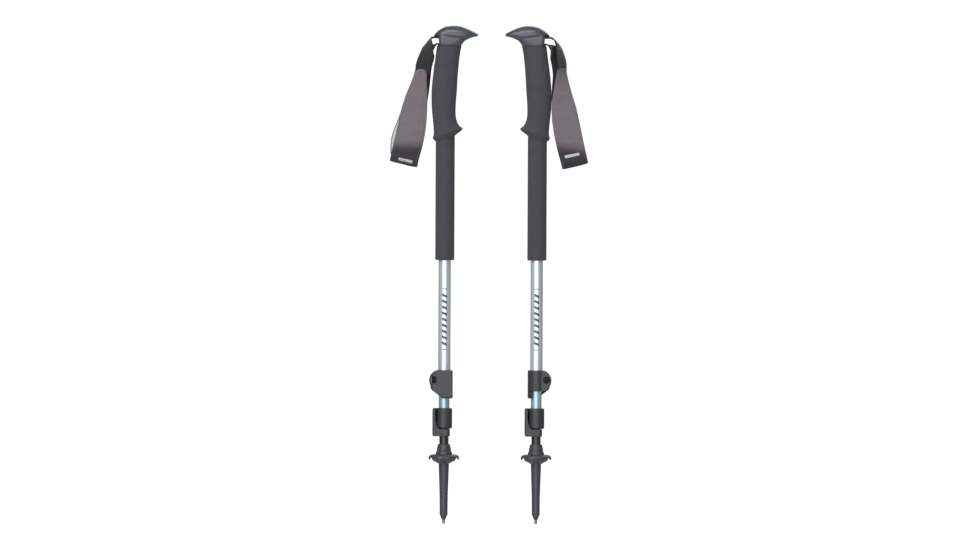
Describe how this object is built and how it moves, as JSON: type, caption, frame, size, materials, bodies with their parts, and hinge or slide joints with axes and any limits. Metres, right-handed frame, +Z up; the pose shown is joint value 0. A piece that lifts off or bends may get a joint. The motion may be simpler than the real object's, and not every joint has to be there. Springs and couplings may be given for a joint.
{
  "type": "trekking poles",
  "caption": "Pair of collapsible three-section trekking poles with lever locks, foam grips, wrist straps, small baskets and carbide tips, standing collapsed.",
  "frame": {"origin": "on the plane of the tips, midway between the two pole axes", "axes": "+Z up along the poles toward the grips, +X from the left pole to the right pole, +Y away from the viewer"},
  "size_m": [0.2591, 0.0396, 0.6489],
  "materials": {
    "grip_head": "moulded, soft highlight",
    "foam": "fine closed-cell foam, matt",
    "hidden_plastic": "matt black",
    "webbing": "woven black webbing",
    "wrist_band": "brushed warm grey knit",
    "band_lining": "pale mint soft knit",
    "upper_tube": "satin anodised pale blue silver",
    "middle_tube": "satin anodised pale mint",
    "lower_tube": "satin black anodised",
    "lock_plastic": "moulded dark grey nylon",
    "tip_plastic": "moulded dark grey",
    "tip_metal": "dark steel",
    "carbide": "ground carbide",
    "steel": "zinc-plated steel"
  },
  "bodies": {
    "left_handle": {"left_grip_head": "grip_head", "left_grip_core": "hidden_plastic", "left_grip_foam": "foam", "left_grip_extension": "foam", "left_strap_pin": "steel", "left_strap_wedge": "hidden_plastic", "left_strap_loop": "webbing", "left_upper_shaft": "upper_tube", "left_upper_lock_collar": "lock_plastic", "left_upper_lock_pad": "steel", "left_upper_lock_barrel": "steel"},
    "left_strap": {"left_strap_webbing": "webbing", "left_wrist_band": "wrist_band", "left_band_lining": "band_lining"},
    "left_upper_screw": {"left_upper_lock_screw": "steel"},
    "left_upper_lever": {"left_upper_lock_lever": "lock_plastic"},
    "left_middle": {"left_middle_shaft": "middle_tube", "left_middle_guide": "hidden_plastic", "left_lower_lock_collar": "lock_plastic", "left_lower_lock_pad": "steel", "left_lower_lock_barrel": "steel"},
    "left_lower_screw": {"left_lower_lock_screw": "steel"},
    "left_lower_lever": {"left_lower_lock_lever": "lock_plastic"},
    "left_lower": {"left_lower_shaft": "lower_tube", "left_lower_guide": "hidden_plastic", "left_tip_body": "tip_plastic", "left_basket": "tip_plastic", "left_basket_collar": "tip_plastic", "left_tip_ferrule": "tip_metal", "left_carbide_tip": "carbide"},
    "right_handle": {"right_grip_head": "grip_head", "right_grip_core": "hidden_plastic", "right_grip_foam": "foam", "right_grip_extension": "foam", "right_strap_pin": "steel", "right_strap_wedge": "hidden_plastic", "right_strap_loop": "webbing", "right_upper_shaft": "upper_tube", "right_upper_lock_collar": "lock_plastic", "right_upper_lock_pad": "steel", "right_upper_lock_barrel": "steel"},
    "right_strap": {"right_strap_webbing": "webbing", "right_wrist_band": "wrist_band", "right_band_lining": "band_lining"},
    "right_upper_screw": {"right_upper_lock_screw": "steel"},
    "right_upper_lever": {"right_upper_lock_lever": "lock_plastic"},
    "right_middle": {"right_middle_shaft": "middle_tube", "right_middle_guide": "hidden_plastic", "right_lower_lock_collar": "lock_plastic", "right_lower_lock_pad": "steel", "right_lower_lock_barrel": "steel"},
    "right_lower_screw": {"right_lower_lock_screw": "steel"},
    "right_lower_lever": {"right_lower_lock_lever": "lock_plastic"},
    "right_lower": {"right_lower_shaft": "lower_tube", "right_lower_guide": "hidden_plastic", "right_tip_body": "tip_plastic", "right_basket": "tip_plastic", "right_basket_collar": "tip_plastic", "right_tip_ferrule": "tip_metal", "right_carbide_tip": "carbide"}
  },
  "joints": [
    {"name": "left_strap_swing", "type": "hinge", "parent": "left_handle", "child": "left_strap", "pos_m": [-0.0758, 0, 0.6332], "axis": [0, 1, 0], "range_deg": [0, 70]},
    {"name": "left_middle_slide", "type": "slide", "parent": "left_handle", "child": "left_middle", "axis": [0, 0, -1], "range_m": [0, 0.36]},
    {"name": "left_lower_slide", "type": "slide", "parent": "left_middle", "child": "left_lower", "axis": [0, 0, -1], "range_m": [0, 0.385]},
    {"name": "left_upper_lever", "type": "hinge", "parent": "left_handle", "child": "left_upper_lever", "pos_m": [-0.0735, -0.01075, 0.1874], "axis": [0, 0, -1], "range_deg": [0, 150]},
    {"name": "left_upper_screw", "type": "hinge", "parent": "left_handle", "child": "left_upper_screw", "pos_m": [-0.0735, 0, 0.1874], "axis": [0, 1, 0], "continuous": true},
    {"name": "left_lower_lever", "type": "hinge", "parent": "left_middle", "child": "left_lower_lever", "pos_m": [-0.07075, 0.0135, 0.1379], "axis": [0, 0, -1], "range_deg": [0, 150]},
    {"name": "left_lower_screw", "type": "hinge", "parent": "left_middle", "child": "left_lower_screw", "pos_m": [-0.06, 0.0135, 0.1379], "axis": [1, 0, 0], "continuous": true},
    {"name": "right_pole_spacing", "type": "slide", "parent": "left_handle", "child": "right_handle", "axis": [1, 0, 0], "range_m": [0, 0.4]},
    {"name": "right_strap_swing", "type": "hinge", "parent": "right_handle", "child": "right_strap", "pos_m": [0.0758, 0, 0.6332], "axis": [0, -1, 0], "range_deg": [0, 70]},
    {"name": "right_middle_slide", "type": "slide", "parent": "right_handle", "child": "right_middle", "axis": [0, 0, -1], "range_m": [0, 0.36]},
    {"name": "right_lower_slide", "type": "slide", "parent": "right_middle", "child": "right_lower", "axis": [0, 0, -1], "range_m": [0, 0.385]},
    {"name": "right_upper_lever", "type": "hinge", "parent": "right_handle", "child": "right_upper_lever", "pos_m": [0.0735, 0.01075, 0.1874], "axis": [0, 0, -1], "range_deg": [0, 150]},
    {"name": "right_upper_screw", "type": "hinge", "parent": "right_handle", "child": "right_upper_screw", "pos_m": [0.0735, 0, 0.1874], "axis": [0, -1, 0], "continuous": true},
    {"name": "right_lower_lever", "type": "hinge", "parent": "right_middle", "child": "right_lower_lever", "pos_m": [0.04925, 0.0135, 0.1379], "axis": [0, 0, -1], "range_deg": [0, 150]},
    {"name": "right_lower_screw", "type": "hinge", "parent": "right_middle", "child": "right_lower_screw", "pos_m": [0.06, 0.0135, 0.1379], "axis": [1, 0, 0], "continuous": true}
  ]
}
